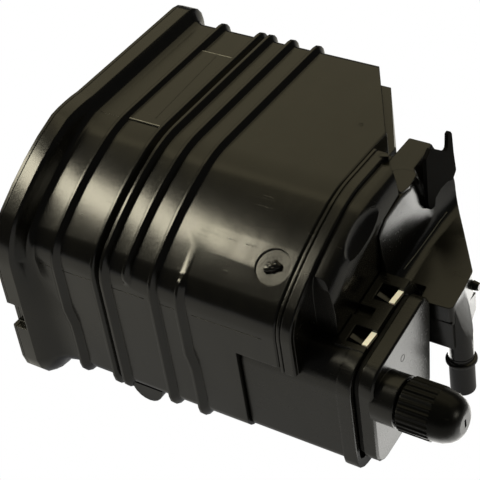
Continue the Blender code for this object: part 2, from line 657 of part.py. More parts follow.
def build_spring(name, y, z):
    curve = bpy.data.curves.new(name, "CURVE")
    curve.dimensions = "3D"
    curve.bevel_depth = SPRING_WIRE
    curve.bevel_resolution = 1
    curve.use_fill_caps = True
    start = 1.5 * MM
    length = PLATE_X - GAP - SPRING_WIRE - start - SPRING_WIRE
    per_turn = 10
    count = SPRING_TURNS * per_turn
    spline = curve.splines.new("POLY")
    spline.points.add(count)
    for i, knot in enumerate(spline.points):
        angle = 2 * math.pi * i / per_turn
        climb = min(max((i - per_turn) / (count - 2 * per_turn), 0), 1)
        drift = 2.2 * SPRING_WIRE * min(i, per_turn, count - i) / per_turn
        x = start + SPRING_WIRE + climb * (length - 4.4 * SPRING_WIRE)
        x += drift if i < count / 2 else 4.4 * SPRING_WIRE - drift
        knot.co = (x, y * MM + SPRING_RADIUS * math.cos(angle), z * MM + SPRING_RADIUS * math.sin(angle), 1)
    drawn = bpy.data.objects.new(name, curve)
    CUTTERS.objects.link(drawn)
    mesh = bpy.data.meshes.new_from_object(drawn.evaluated_get(bpy.context.evaluated_depsgraph_get()))
    bpy.data.objects.remove(drawn)
    bm = bmesh.new()
    bm.from_mesh(mesh)
    bpy.data.meshes.remove(mesh)
    return tidy(bm, name, "spring")


# Head at the end of the case
def head_ring(x, reach, far=HEAD_FAR, low=HEAD_LOW):
    """The head's section: the case's own slope and front, closed by straight far and lower sides."""
    ring = [(x, far, low), (x, far, reach)]
    for spot in CASE:
        if spot.side in ("top", "slope") or (spot.side == "front" and spot.z > low + 20 * MM):
            ring.append((x, *moved_out(spot, reach)))
    ring.append((x, -CASE_WIDTH - reach, low))
    return ring


def head_scoop():
    """The long shallow dish in the head's rounded end."""
    bm = bmesh.new()
    bmesh.ops.create_uvsphere(bm, u_segments=20, v_segments=12, radius=1)
    turn = (Matrix.Rotation(math.radians(SCOOP_FALL), 4, "X") @ Matrix.Rotation(math.radians(SCOOP_TILT), 4, "Y")
            @ Matrix.Rotation(math.radians(90), 4, "Z"))
    bmesh.ops.transform(bm, matrix=Matrix.Translation(SCOOP_AT) @ turn @ Matrix.Diagonal((*SCOOP_HALVES, 1)),
                        verts=bm.verts)
    return tidy(bm, "head_scoop", None)


def hood_window():
    """The way that the air takes from the head into the hood."""
    return rod("hood_window", (HEAD_END - 12 * MM, *HOOD_WINDOW), (HEAD_END + 8 * MM, *HOOD_WINDOW),
               HOOD_WINDOW_RADIUS, sides=20)


def build_head():
    start = CASE_LENGTH + GAP
    forms = [
        (start, -0.8 * MM),
        (start + 1 * MM, 0),
        (start + 2.6 * MM, 0),
        (start + 3 * MM, -GROOVE),
        (start + 3.6 * MM, -GROOVE),
        (start + 4 * MM, 0),
        (BAND_END - 0.8 * MM, 0),
        (BAND_END, -0.8 * MM),
        (BAND_END + 0.4 * MM, -SHOULDER_STEP),
    ]
    forms += [(HEAD_END + step * MM, -SHOULDER_STEP - drop * MM) for step, drop in HEAD_ROUNDING]
    head = loft("head_cover", [head_ring(x, reach) for x, reach in forms], "head")
    inner = WALL + SHOULDER_STEP
    cavity = loft("head_cavity", [head_ring(x, -inner - extra, HEAD_FAR - WALL, HEAD_LOW + WALL)
                                  for x, extra in ((start - 5 * MM, 0), (HEAD_END - 12 * MM, 0),
                                                   (HEAD_END - 9 * MM, 3 * MM), (HEAD_END - 6.5 * MM, 10 * MM))])
    cut(cavity, block("cavity_floor", (start - 8 * MM, -CASE_WIDTH - 5 * MM, -CASE_HEIGHT - 5 * MM),
                      (HEAD_END, HEAD_CAVITY_Y, -50 * MM)))
    hood_room = slab("hood_room", rounded(HOOD_PLAN, 4, grow=GAP), HOOD_FLOOR - GAP, 20 * MM, "Z")
    box_room = loft("box_room", box_rings(BOX_CORNERS, ((start - 5 * MM, GAP), (HEAD_END + 10 * MM, GAP))))
    below_room = block("below_room", (start - 5 * MM, -CASE_WIDTH - 5 * MM, -CASE_HEIGHT - 10 * MM),
                       (HEAD_END + 10 * MM, BOX_CORNERS[0][0] * MM + 3 * MM, -80 * MM))
    bar = slab("head_bar", rounded(BAR_PLAN, 3), LEDGE_Z - 4 * MM, BAR_TOP, "Z")
    above = block("head_upper_far", (start - 5 * MM, HEAD_FAR_TOP, LEDGE_Z), (HEAD_END + 5 * MM, 0, 20 * MM))
    above_wall = block("cavity_upper_far", (start - 8 * MM, HEAD_FAR_TOP - WALL, LEDGE_Z - WALL),
                       (HEAD_END + 5 * MM, 0, 20 * MM))
    near_wall = slab("cavity_near", rounded(HEAD_NEAR, 1, grow=WALL), BAND_END - 2.4 * MM, HEAD_END + 5 * MM, "X")
    near = slab("head_near", rounded(HEAD_NEAR, 1), BAND_END + 0.6 * MM, HEAD_END + 10 * MM, "X")
    cut(cavity, above_wall, near_wall)
    cut(head, above)
    join(head, bar)
    cut(head, cavity, near, box_room, below_room, hood_room, head_scoop(), hood_window())
    for z, radius in (TANK_PORT, PURGE_PORT):
        cut(head, rod("port_way", (PORT_X, HEAD_FAR - 8 * MM, z), (PORT_X, HEAD_FAR + 8 * MM, z),
                      radius - 2 * MM, sides=20))
    return head


# Vent filter box
def box_rings(corners, stations, pieces=4):
    return [[(x, *point) for point in rounded(corners, pieces, grow=grow)] for x, grow in stations]


def on_box_top(y, rise=0.0):
    """Height of the filter box's sloping top at a place across it."""
    (ay, az, _), (by, bz, _) = BOX_CORNERS[0], BOX_CORNERS[1]
    return (az + (bz - az) * (y / MM - ay) / (by - ay)) * MM + rise


def under_case(name, clear):
    """The room that the case's front wall takes above the box, where the box reaches under it."""
    return block(name, (POCKET_X - 20 * MM, -CASE_WIDTH - 20 * MM, POCKET_TOP - clear),
                 (CASE_LENGTH + clear, 0, 0))


def build_filter_box():
    box = loft("filter_box", box_rings(BOX_CORNERS, ((POCKET_X + GAP, -0.6 * MM), (POCKET_X + 1 * MM, 0),
                                                    (BOX_END + 1 * MM, 0))), "box")
    collar = loft("collar", box_rings(COLLAR_CORNERS, ((BOX_END, -0.6 * MM), (BOX_END + 0.6 * MM, 0),
                                                       (COLLAR_END - 0.6 * MM, 0), (COLLAR_END, -0.6 * MM))))
    hollow = loft("box_hollow", box_rings(BOX_CORNERS, ((POCKET_X + WALL, -BOX_WALL),
                                                        (COLLAR_END + 5 * MM, -BOX_WALL))))
    y0, y1 = LATCH_PLATE_Y
    plate_rings = []
    for x in (LATCH_PLATE_X, COLLAR_END - 0.2 * MM):
        plate_rings.append([(x, y0, on_box_top(y0, -1.5 * MM)), (x, y1, on_box_top(y1, -1.5 * MM)),
                            (x, y1, on_box_top(y1, LATCH_PLATE_RISE)), (x, y0, on_box_top(y0, LATCH_PLATE_RISE))])
    plate = loft("latch_plate", plate_rings)
    join(box, collar, plate)
    cut(hollow, under_case("hollow_limit", GAP + BOX_WALL))
    cut(box, hollow, under_case("box_limit", GAP))
    for i, y in enumerate(LATCH_Y):
        width, depth = LATCH_WINDOW
        top = on_box_top(y)
        cut(box, block("latch_window_%d" % i, (COLLAR_END - width, y - depth / 2, top - 8 * MM),
                       (COLLAR_END + 5 * MM, y + depth / 2, top + 8 * MM)))
    middle = sum(LATCH_Y) / 2
    top = on_box_top(middle)
    length, half, depth = PLATE_NOTCH
    cut(box, block("plate_notch", (LATCH_PLATE_X - 5 * MM, middle - half, top - depth),
                   (LATCH_PLATE_X + length, middle + half, top + 10 * MM)))
    return box


def build_filter_cover():
    lip = ((COLLAR_END - 2.5 * MM, -BOX_WALL - 1 * MM), (SEAL_END + 1 * MM, -BOX_WALL - 1 * MM))
    cover = loft("filter_cover", box_rings(COVER_CORNERS, ((SEAL_END, -0.8 * MM), (SEAL_END + 0.8 * MM, 0),
                                                          (COVER_END - 1.2 * MM, 0), (COVER_END, -1.4 * MM))), "box")
    skirt = loft("cover_skirt", box_rings(COVER_CORNERS, lip))
    hollow = loft("cover_hollow", box_rings(COVER_CORNERS, ((COLLAR_END - 20 * MM, -BOX_WALL - 3.2 * MM),
                                                            (COVER_END - 2.5 * MM, -BOX_WALL - 3.2 * MM))))
    join(cover, skirt)
    cut(cover, hollow)
    at = Matrix.Translation((0, CAP_Y, CAP_Z)) @ Matrix.Rotation(math.radians(90), 4, "Y")
    neck = ((SPIGOT_BORE, NECK_END), (SPIGOT_BORE, COVER_END - 2.4 * MM), (CAP_RADIUS - 0.6 * MM, COVER_END - 2.4 * MM),
            (CAP_RADIUS - 0.6 * MM, NECK_END - 0.6 * MM), (CAP_RADIUS - 1.2 * MM, NECK_END),
            (SPIGOT_RADIUS, NECK_END), (SPIGOT_RADIUS, SPIGOT_END), (SPIGOT_BORE, SPIGOT_END))
    join(cover, turned("neck", neck, at))
    cut(cover, rod("neck_bore", (COVER_END - 6 * MM, CAP_Y, CAP_Z), (COVER_END + 4 * MM, CAP_Y, CAP_Z),
                   SPIGOT_BORE, sides=28))
    return cover


def build_seal():
    outer = box_rings(COVER_CORNERS, ((COLLAR_END + GAP, -SEAL_RECESS), (SEAL_END - GAP, -SEAL_RECESS)))
    seal = loft("cover_seal", outer, "rubber")
    inner = box_rings(COVER_CORNERS, ((COLLAR_END - 4 * MM, -BOX_WALL - 1 * MM + GAP),
                                      (SEAL_END + 4 * MM, -BOX_WALL - 1 * MM + GAP)))
    return cut(seal, loft("seal_hole", inner))


def build_latch(name, y):
    """The tip of a latch tongue, flush with the plate in its window."""
    top = on_box_top(y, LATCH_PLATE_RISE - 0.4 * MM)
    reach = LATCH_WINDOW[1] / 2 - GAP
    return block(name, (COLLAR_END - LATCH_LENGTH, y - reach, top - LATCH_THICK),
                 (COLLAR_END - 0.2 * MM, y + reach, top), "natural")


def build_filter_element():
    grow = -BOX_WALL - GAP
    start = POCKET_X + WALL + 4 * MM
    element = loft("filter_element", box_rings(BOX_CORNERS, ((start, grow), (start + 52 * MM, grow))), "foam")
    return cut(element, under_case("element_limit", BOX_WALL + 2 * GAP))


def build_cap():
    """The vent cap: a hollow cup with upright ribs round its band and a rounded end."""
    def ring(x, radius, ribs):
        points = []
        for i in range(CAP_RIBS * 4):
            angle = 2 * math.pi * i / (CAP_RIBS * 4)
            reach = radius + (CAP_RIB_HEIGHT * ribs if i % 4 in (1, 2) else 0)
            points.append((x, CAP_Y + reach * math.cos(angle), CAP_Z + reach * math.sin(angle)))
        return points

    root = CAP_RADIUS - CAP_RIB_HEIGHT
    rings = [ring(CAP_START, root - 0.6 * MM, 0), ring(CAP_START + 1 * MM, root, 1), ring(CAP_BAND_END, root, 1),
             ring(CAP_BAND_END + 1 * MM, root + 0.2 * MM, 0)]
    dome = CAP_END - CAP_BAND_END - 1 * MM
    for degrees in (25, 45, 62, 76):
        angle = math.radians(degrees)
        rings.append(ring(CAP_BAND_END + 1 * MM + dome * math.sin(angle),
                          (root + 0.2 * MM) * (0.36 + 0.64 * math.cos(angle)), 0))
    rings.append(ring(CAP_END, root * 0.42, 0))
    cap = loft("vent_cap", rings, "cap")
    bore = rod("cap_bore", (CAP_START - 5 * MM, CAP_Y, CAP_Z), (CAP_BAND_END + 2 * MM, CAP_Y, CAP_Z),
               CAP_BORE, sides=28)
    slot = block("cap_slot", (CAP_BAND_END, CAP_Y - 1 * MM, CAP_Z - 3 * MM),
                 (CAP_END + 5 * MM, CAP_Y + 1 * MM, CAP_Z + 3 * MM))
    return cut(cap, bore, slot)


# Fresh air hood and pipe
def hood_rings(inset, low):
    """The hood's sections in XZ, from the viewer's side to the far one, moved in by inset."""
    rings = []
    for y, edge, top, foot, shelf in HOOD_SECTIONS:
        points = [
            (HOOD_START / MM, top),
            (edge - 2.2, top),
            (edge - 0.7, top - 0.6),
            (edge + 0.3, top - 2.4),
            ((edge + foot) / 2, (top + shelf + 8) / 2),
            (foot, shelf + 9),
            (foot + 1.6, shelf + 4.2),
            (foot + 4.6, shelf + 1.2),
            (foot + 9, shelf),
            (HOOD_END / MM, shelf),
        ]
        ring = [(x * MM - (inset if 0 < i else 0), y * MM, z * MM - inset) for i, (x, z) in enumerate(points)]
        ring[-1] = (HOOD_END, y * MM, ring[-1][2])
        ring += [(HOOD_END, y * MM, low), (HOOD_START, y * MM, low)]
        rings.append(ring)
    return rings


def hood_form(name, grow, material=None):
    """The hood's outer form, grown or shrunk on every side."""
    form = loft(name, hood_rings(-grow, HOOD_FLOOR - grow), material)
    split = form.modifiers.new("Triangulate", "TRIANGULATE")
    split.quad_method = "FIXED"
    plan = slab(name + "_plan", rounded(HOOD_PLAN, 4, grow=grow), HOOD_FLOOR - 5 * MM, 20 * MM, "Z")
    return combine(form, plan, "INTERSECT", "MANIFOLD")


def build_hood():
    hood = hood_form("air_hood", 0, "hood")
    combine(hood, hood_form("hood_hollow", -HOOD_WALL), "DIFFERENCE", "MANIFOLD")
    side = [(y * MM, z * MM) for y, z in ELBOW_SIDE]
    elbow = slab("elbow", side, ELBOW_START, HOOD_END - 1 * MM, "X")
    socket = rod("pipe_socket", (PIPE_X, PIPE_Y, PIPE_START + GAP), (PIPE_X, PIPE_Y, PIPE_SHOULDER[0][1] * MM),
                 PIPE_RADIUS, sides=28)
    cut(socket, slab("pipe_shoulder", [(PIPE_X + x * MM, z * MM) for x, z in PIPE_SHOULDER],
                     PIPE_Y - 15 * MM, PIPE_Y + 15 * MM, "Y"))
    boss = slab("hood_boss", rounded(BOSS_PLAN, 2), BOSS_TOP - 8 * MM, BOSS_TOP, "Z")
    stud = rod("stud", STUD_AT, (STUD_AT[0] + STUD_LENGTH, *STUD_AT[1:]), STUD_RADIUS, sides=14,
               end_radius=0.8 * STUD_RADIUS)
    join(hood, elbow, socket, boss, stud)
    pipe_way = rod("pipe_way", (PIPE_X, PIPE_Y, PIPE_START - 5 * MM), (PIPE_X, PIPE_Y, PIPE_WAY_TOP),
                   PIPE_BORE, sides=28)
    elbow_way = block("elbow_way", (ELBOW_START + HOOD_WALL, PIPE_Y - 3.9 * MM, PIPE_WAY_TOP - 3.6 * MM),
                      (PIPE_X - 1.7 * MM, PIPE_Y + 12.9 * MM, HOOD_FLOOR + 5.3 * MM))
    return cut(hood, pipe_way, elbow_way, hood_window())


def build_pipe():
    place = Matrix.Translation((PIPE_X, PIPE_Y, 0))
    bead = PIPE_BEAD_Z
    profile = [(PIPE_BORE, PIPE_START), (PIPE_RADIUS, PIPE_START), (PIPE_RADIUS, bead + 1.8 * MM),
               (PIPE_BEAD - 0.5 * MM, bead + 1.4 * MM), (PIPE_BEAD, bead + 0.6 * MM),
               (PIPE_BEAD, bead - 0.6 * MM), (PIPE_BEAD - 0.5 * MM, bead - 1.4 * MM), (PIPE_RADIUS, bead - 1.8 * MM),
               (PIPE_RADIUS, PIPE_END + 1 * MM), (PIPE_RADIUS - 0.8 * MM, PIPE_END), (PIPE_BORE, PIPE_END)]
    return turned("fresh_air_pipe", profile, place, "hood")


def build_bracket():
    arm = slab("bracket_arm", rounded(BRACKET_OUTLINE, 3), BRACKET_X, BRACKET_X + BRACKET_THICK, "X", "bracket")
    return cut(arm, hood_form("arm_clearance", GAP))


def build_port(name, z, radius):
    """A hose nipple that stands out of the head's far wall, with a barb near its end."""
    place = Matrix.Translation((PORT_X, PORT_START, z)) @ Matrix.Rotation(math.radians(-90), 4, "X")
    bore = radius - 2 * MM
    profile = [(bore, PORT_LENGTH), (radius - 0.8 * MM, PORT_LENGTH), (radius + 0.9 * MM, PORT_LENGTH - 4 * MM),
               (radius, PORT_LENGTH - 4.5 * MM), (radius, 3 * MM), (radius + 3 * MM, 3 * MM),
               (radius + 3 * MM, 0), (bore, 0)]
    return turned(name, profile, place, "head", steps=20)


# Everything is built in order, then set on the ground
build_case()
build_end_cover()
HOLE_ROWS = [share * LOW for share in (0.167, 0.375, 0.583, 0.79)]
MAIN_COLUMNS = [share * PARTITION_Y / MM for share in (0.186, 0.39, 0.593, 0.797)]
VENT_COLUMNS = [FRONT + 69, FRONT + 43]
build_chamber("main", MAIN_BED_END, [(y, z) for y in MAIN_COLUMNS for z in HOLE_ROWS])
build_chamber("vent", VENT_BED_END, [(y, z) for y in VENT_COLUMNS for z in HOLE_ROWS[1:]])
build_spring("main_spring_near", PARTITION_Y / MM + 30, 0.5 * LOW)
build_spring("main_spring_far", 0.32 * PARTITION_Y / MM, 0.5 * LOW)
build_spring("vent_spring", FRONT + 47, 0.583 * LOW)
build_head()
build_filter_box()
build_filter_cover()
build_seal()
build_latch("latch_far", LATCH_Y[0])
build_latch("latch_near", LATCH_Y[1])
build_filter_element()
build_cap()
build_hood()
build_pipe()
build_bracket()
build_port("tank_port", *TANK_PORT)
build_port("purge_port", *PURGE_PORT)


def set_on_ground():
    graph = bpy.context.evaluated_depsgraph_get()
    low, high = Vector((9, 9, 9)), Vector((-9, -9, -9))
    for thing in PARTS.objects:
        seen = thing.evaluated_get(graph)
        for vertex in seen.data.vertices:
            for axis in range(3):
                low[axis] = min(low[axis], vertex.co[axis])
                high[axis] = max(high[axis], vertex.co[axis])
    shift = -Vector(((low.x + high.x) / 2, (low.y + high.y) / 2, low.z))
    for thing in list(PARTS.objects) + list(CUTTERS.objects):
        thing.location = thing.location + shift


set_on_ground()
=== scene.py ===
# %% [markdown]
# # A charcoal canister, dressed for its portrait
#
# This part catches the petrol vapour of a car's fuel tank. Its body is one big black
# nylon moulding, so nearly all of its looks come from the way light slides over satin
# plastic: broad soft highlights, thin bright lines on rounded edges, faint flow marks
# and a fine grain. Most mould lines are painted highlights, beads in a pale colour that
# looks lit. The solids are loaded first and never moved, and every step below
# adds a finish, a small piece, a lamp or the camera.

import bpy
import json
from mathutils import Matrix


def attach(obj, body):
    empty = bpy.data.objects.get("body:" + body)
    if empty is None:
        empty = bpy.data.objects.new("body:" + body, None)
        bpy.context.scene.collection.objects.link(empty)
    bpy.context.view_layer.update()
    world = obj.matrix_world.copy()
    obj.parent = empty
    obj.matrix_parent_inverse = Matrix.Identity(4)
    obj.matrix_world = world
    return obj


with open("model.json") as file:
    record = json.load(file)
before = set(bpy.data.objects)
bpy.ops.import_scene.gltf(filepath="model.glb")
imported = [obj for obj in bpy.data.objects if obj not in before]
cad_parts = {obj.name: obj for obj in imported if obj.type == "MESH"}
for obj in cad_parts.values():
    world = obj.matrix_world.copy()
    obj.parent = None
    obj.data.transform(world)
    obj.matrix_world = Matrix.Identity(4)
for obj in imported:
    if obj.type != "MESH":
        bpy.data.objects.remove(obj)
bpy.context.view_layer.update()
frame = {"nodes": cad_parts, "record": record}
print("solids loaded:", len(frame["nodes"]))

# %% Modules and units
import json
import math

import bmesh
import bpy
import numpy as np
from mathutils import Matrix, Vector
from mathutils.bvhtree import BVHTree

MM = 0.001
nodes = frame["nodes"]
scene = bpy.context.scene

# %% [markdown]
# ## Smooth shading
#
# The solids arrive as loose triangles, so a curved wall would look like cut gemstone.
# A subdivision would round off the real edges too. Here each corner instead takes the
# average direction of the triangles that meet there within a small angle, and larger
# triangles count for more. Flat walls stay flat, and only the narrow fillets turn.

# %% Corner directions that follow the curves
CREASE = math.radians(34)
# Corners that share a step of this many metres count as one place
GRID = 2e-5


def soften(thing, crease=CREASE):
    """Gives a mesh smooth corners wherever its triangles meet at less than the crease."""
    mesh = thing.data
    corners = np.empty(len(mesh.loops), np.int64)
    mesh.loops.foreach_get("vertex_index", corners)
    spots = np.array([v.co[:] for v in mesh.vertices])
    keys = np.round(spots[corners] / GRID).astype(np.int64)
    _, place = np.unique(keys, axis=0, return_inverse=True)
    owner = np.repeat(np.arange(len(mesh.polygons)), [len(p.loop_indices) for p in mesh.polygons])
    facing = np.array([p.normal[:] for p in mesh.polygons])
    weight = np.array([p.area for p in mesh.polygons])
    order = np.argsort(place.ravel(), kind="stable")
    edges = np.flatnonzero(np.diff(place.ravel()[order])) + 1
    result = np.empty((len(corners), 3))
    limit = math.cos(crease)
    for group in np.split(order, edges):
        faces = owner[group]
        near = (facing[faces] @ facing[faces].T) > limit
        total = (near * weight[faces]) @ facing[faces]
        result[group] = total / np.maximum(np.linalg.norm(total, axis=1, keepdims=True), 1e-12)
    mesh.polygons.foreach_set("use_smooth", [True] * len(mesh.polygons))
    mesh.normals_split_custom_set(result.tolist())


for thing in nodes.values():
    soften(thing)
print("softened nodes:", len(nodes))

# %% [markdown]
# ## Writing shader maths
#
# A finish is a recipe such as "grain times gloss plus wear". Wiring that by hand takes
# dozens of nodes, so a socket is wrapped in a small class and the recipe is written as
# a sum. Each operator adds the node that it needs, and anything else comes from node().


# %% A socket that can be added and multiplied
class Shade:
    """A value that varies over a surface, as one output socket of a finish."""

    def __init__(self, finish, socket):
        self.finish = finish
        self.socket = socket

    def _math(self, operation, first, second):
        return self.finish.node("ShaderNodeMath", {"operation": operation}, {0: first, 1: second})

    def __add__(self, other):
        return self._math("ADD", self, other)

    def __radd__(self, other):
        return self._math("ADD", other, self)

    def __rsub__(self, other):
        return self._math("SUBTRACT", other, self)

    def __mul__(self, other):
        return self._math("MULTIPLY", self, other)

    def __rmul__(self, other):
        return self._math("MULTIPLY", other, self)

    def above(self, low, high):
        """0 below low, 1 above high, and a soft step between them."""
        return self.finish.node(
            "ShaderNodeMapRange",
            {"interpolation_type": "SMOOTHSTEP"},
            {"Value": self, "From Min": low, "From Max": high},
        )


# %% A finish, made of nodes
class Finish:
    """One material, and the nodes that its recipe adds to it."""

    def __init__(self, name, **fixed):
        self.material = bpy.data.materials.new(name)
        self.material.use_nodes = True
        self.tree = self.material.node_tree
        self.surface = self.tree.nodes["Principled BSDF"]
        for socket, value in fixed.items():
            self.surface.inputs[socket.replace("_", " ")].default_value = value

    def node(self, kind, settings=None, sockets=None, output=0):
        """Adds a node, makes its settings, and then fills or links its sockets."""
        made = self.tree.nodes.new(kind)
        for key, value in (settings or {}).items():
            setattr(made, key, value)
        for key, value in (sockets or {}).items():
            self.fill(made.inputs[key], value)
        return Shade(self, made.outputs[output])

    def fill(self, socket, value):
        if isinstance(value, Shade):
            self.tree.links.new(value.socket, socket)
        else:
            socket.default_value = value

    def varies(self, **sockets):
        """Links what changes over the surface to the main shader."""
        for name, value in sockets.items():
            self.fill(self.surface.inputs[name.replace("_", " ")], value)

    def mix(self, share, first, second):
        """A colour between two others."""
        settings = {"data_type": "RGBA"}
        return self.node("ShaderNodeMix", settings, {0: share, 6: first, 7: second}, output=2)

    def place(self, stretch=(1, 1, 1)):
        """Where a point of the surface is on the object, stretched along the axes."""
        spot = self.node("ShaderNodeTexCoord", output=3)
        return self.node(
            "ShaderNodeVectorMath", {"operation": "MULTIPLY"}, {0: spot, 1: stretch}
        )

    def noise(self, size, detail=3.0, rough=0.5, stretch=(1, 1, 1)):
        """Soft random patches, size metres across."""
        sockets = {"Vector": self.place(stretch), "Scale": 1 / size}
        sockets.update({"Detail": detail, "Roughness": rough})
        return self.node("ShaderNodeTexNoise", None, sockets)

    def cells(self, size, feature="F1"):
        """Distance from the middles, or the borders, of random cells size metres across."""
        sockets = {"Vector": self.place(), "Scale": 1 / size}
        return self.node("ShaderNodeTexVoronoi", {"feature": feature}, sockets)

    def rounded(self, radius):
        """The surface's direction, as if every hard edge had this radius."""
        return self.node("ShaderNodeBevel", {"samples": 6}, {"Radius": radius})

    def edges(self, radius):
        """1 on hard edges and 0 on the plain faces between them."""
        flat = self.node("ShaderNodeNewGeometry", output=1)
        sockets = {0: self.rounded(radius), 1: flat}
        same = self.node("ShaderNodeVectorMath", {"operation": "DOT_PRODUCT"}, sockets, output=1)
        return (1 - same).above(0.02, 0.2)

    def bump(self, height, depth, normal=None):
        """Turns a height from 0 to 1 into a relief that is depth metres deep."""
        sockets = {"Height": height, "Strength": 1.0, "Distance": depth}
        if normal is not None:
            sockets["Normal"] = normal
        return self.node("ShaderNodeBump", None, sockets)


print("finish tools ready")

# %% [markdown]
# ## Moulded nylon
#
# The housing is glass-filled nylon 6.6. A flat black would look like a cut-out, because
# the real moulding shows where the melt flowed, a bloom of fibre on the skin, a fine
# eroded grain from the tool and pale rubs along its edges. Its broad walls also sank a
# little as they cooled, which bends every highlight. Image textures would need
# unwrapping, so all of this is grown from the point's place on the object.

# %% Sizes of the patterns, in metres
FLOW_SIZE = 0.045
FLOW_STRETCH = (0.25, 1, 1)
CLOUD_SIZE = 0.011
SKIN_SIZE = 0.0011
PIT_SIZE = 0.0006
SCRATCH_SIZE = 0.0016
SCRATCH_STRETCH = (0.04, 1, 1)
RUB_SIZE = 0.004
SINK_SIZE = 0.028
SINK_STRETCH = (1, 0.35, 0.6)
SINK_DEPTH = 0.45 * MM
CLOUD_DEPTH = 0.05 * MM
print("coarsest and finest pattern in mm:", FLOW_SIZE / MM, PIT_SIZE / MM)


# %% The nylon recipe
def nylon(name, colour, bloom, gloss, grain=0.012, edge=0.8, shine=0.5):
    """Black moulded plastic. Gloss is its roughness, and grain and edge are in mm."""
    finish = Finish(name, IOR=1.5, Specular_IOR_Level=shine)
    flow = finish.noise(FLOW_SIZE, 4.0, 0.55, FLOW_STRETCH)
    cloud = finish.noise(CLOUD_SIZE, 3.0, 0.6)
    skin = finish.noise(SKIN_SIZE, 2.0, 0.6)
    pits = finish.cells(PIT_SIZE)
    lines = finish.noise(SCRATCH_SIZE, 1.0, 0.4, SCRATCH_STRETCH).above(0.62, 0.72)
    scuffs = lines * cloud.above(0.5, 0.68)
    rubs = finish.edges(edge * MM) * finish.noise(RUB_SIZE, 3.0).above(0.3, 0.75)
    share = (flow * 0.6 + cloud * 0.4).above(0.3, 0.75)
    colours = finish.mix(share, (*colour, 1), (*bloom, 1))
    worn = tuple(min(1, c * 2.2 + 0.012) for c in bloom)
    colours = finish.mix(rubs * 0.35 + scuffs * 0.25, colours, (*worn, 1))
    rough = gloss - 0.05 + flow * 0.06 + skin * 0.06 + scuffs * 0.1
    relief = finish.bump(pits * 0.5 + skin * 0.5, grain * MM, finish.rounded(edge * MM))
    sink = finish.noise(SINK_SIZE, 1.5, 0.4, SINK_STRETCH)
    wavy = finish.bump(sink, SINK_DEPTH, finish.bump(cloud, CLOUD_DEPTH, relief))
    finish.varies(Base_Color=colours, Roughness=rough, Normal=wavy)
    return finish.material


print("nylon recipe ready")

# %% [markdown]
# ## One nylon for each moulding
#
# Each part of the housing came out of its own mould, so no two have quite the same black
# or the same gloss. The case is the shiniest, the filter box is duller, and the cap is
# a darker plastic that hardly mirrors. Two paler mixes are painted highlights, for thin
# lines on sharp edges that should look lit.

# %% The nylon finishes
finishes = {
    "case_nylon": nylon("case_nylon", (0.005, 0.0047, 0.0033), (0.010, 0.0094, 0.0064), 0.18),
    "cover_nylon": nylon("cover_nylon", (0.005, 0.0048, 0.0036), (0.009, 0.0085, 0.0062), 0.22),
    "head_nylon": nylon("head_nylon", (0.005, 0.0047, 0.0034), (0.010, 0.0094, 0.0066), 0.21),
    "box_nylon": nylon("box_nylon", (0.005, 0.005, 0.0038), (0.0095, 0.009, 0.007), 0.25, grain=0.008),
    "hood_nylon": nylon("hood_nylon", (0.005, 0.0048, 0.0036), (0.009, 0.0085, 0.0063), 0.23),
    "cap_nylon": nylon(
        "cap_nylon", (0.003, 0.003, 0.0025), (0.005, 0.005, 0.004), 0.30, edge=0.4, shine=0.16
    ),
}
# Painted highlights: pale colours that make thin lines look lit
painted_highlight_line = nylon("painted_highlight_line", (0.30, 0.29, 0.25), (0.42, 0.41, 0.36), 0.5)
faint_painted_highlight = nylon("faint_painted_highlight", (0.045, 0.043, 0.036), (0.075, 0.072, 0.060), 0.4)
print("nylon finishes:", sorted(finishes))

# %% [markdown]
# ## The other stuffs
#
# The arm is steel with a dipped black coat, the latches are nylon with no pigment and
# the seal is rubber. All could share one recipe with other colours, but each gets its
# own: the coat has a peel and chips, cream nylon lets light in under its skin and takes
# on grime, and rubber has a dull bloom.


# %% Coated steel, cream nylon and rubber
def coated_steel():
    finish = Finish("bracket_steel", IOR=1.5, Specular_IOR_Level=0.03)
    peel = finish.noise(0.0012, 2.0)
    drift = finish.noise(0.012, 3.0)
    chips = finish.edges(0.5 * MM) * finish.noise(0.0025, 3.0).above(0.62, 0.7)
    paint = finish.mix(drift, (0.006, 0.006, 0.0065, 1), (0.011, 0.011, 0.011, 1))
    finish.varies(
        Base_Color=finish.mix(chips, paint, (0.09, 0.085, 0.08, 1)),
        Metallic=chips * 0.8,
        Roughness=0.5 + peel * 0.1 + drift * 0.05,
        Normal=finish.bump(peel, 0.03 * MM, finish.rounded(0.4 * MM)),
    )
    return finish.material


def cream_nylon():
    finish = Finish("natural_nylon", IOR=1.53, Subsurface_Weight=0.08, Subsurface_Scale=0.002)
    cloud = finish.noise(0.006, 3.0)
    skin = finish.noise(0.0007, 2.0)
    grime = finish.noise(0.003, 4.0).above(0.56, 0.75)
    colour = finish.mix(cloud, (0.78, 0.71, 0.50, 1), (0.86, 0.82, 0.66, 1))
    finish.varies(
        Base_Color=finish.mix(grime * 0.3, colour, (0.35, 0.30, 0.18, 1)),
        Roughness=0.38 + skin * 0.12,
        Normal=finish.bump(skin, 0.03 * MM, finish.rounded(0.4 * MM)),
    )
    return finish.material


def black_rubber():
    finish = Finish("seal_rubber", IOR=1.5)
    bloom = finish.noise(0.005, 4.0)
    skin = finish.noise(0.0006, 2.0)
    colour = finish.mix(bloom.above(0.4, 0.75), (0.006, 0.006, 0.006, 1), (0.016, 0.016, 0.015, 1))
    finish.varies(
        Base_Color=colour,
        Roughness=0.6 + skin * 0.2,
        Normal=finish.bump(skin, 0.05 * MM, finish.rounded(0.5 * MM)),
    )
    return finish.material


finishes["bracket_steel"] = coated_steel()
finishes["natural_nylon"] = cream_nylon()
finishes["seal_rubber"] = black_rubber()
print("finishes of what shows:", len(finishes))
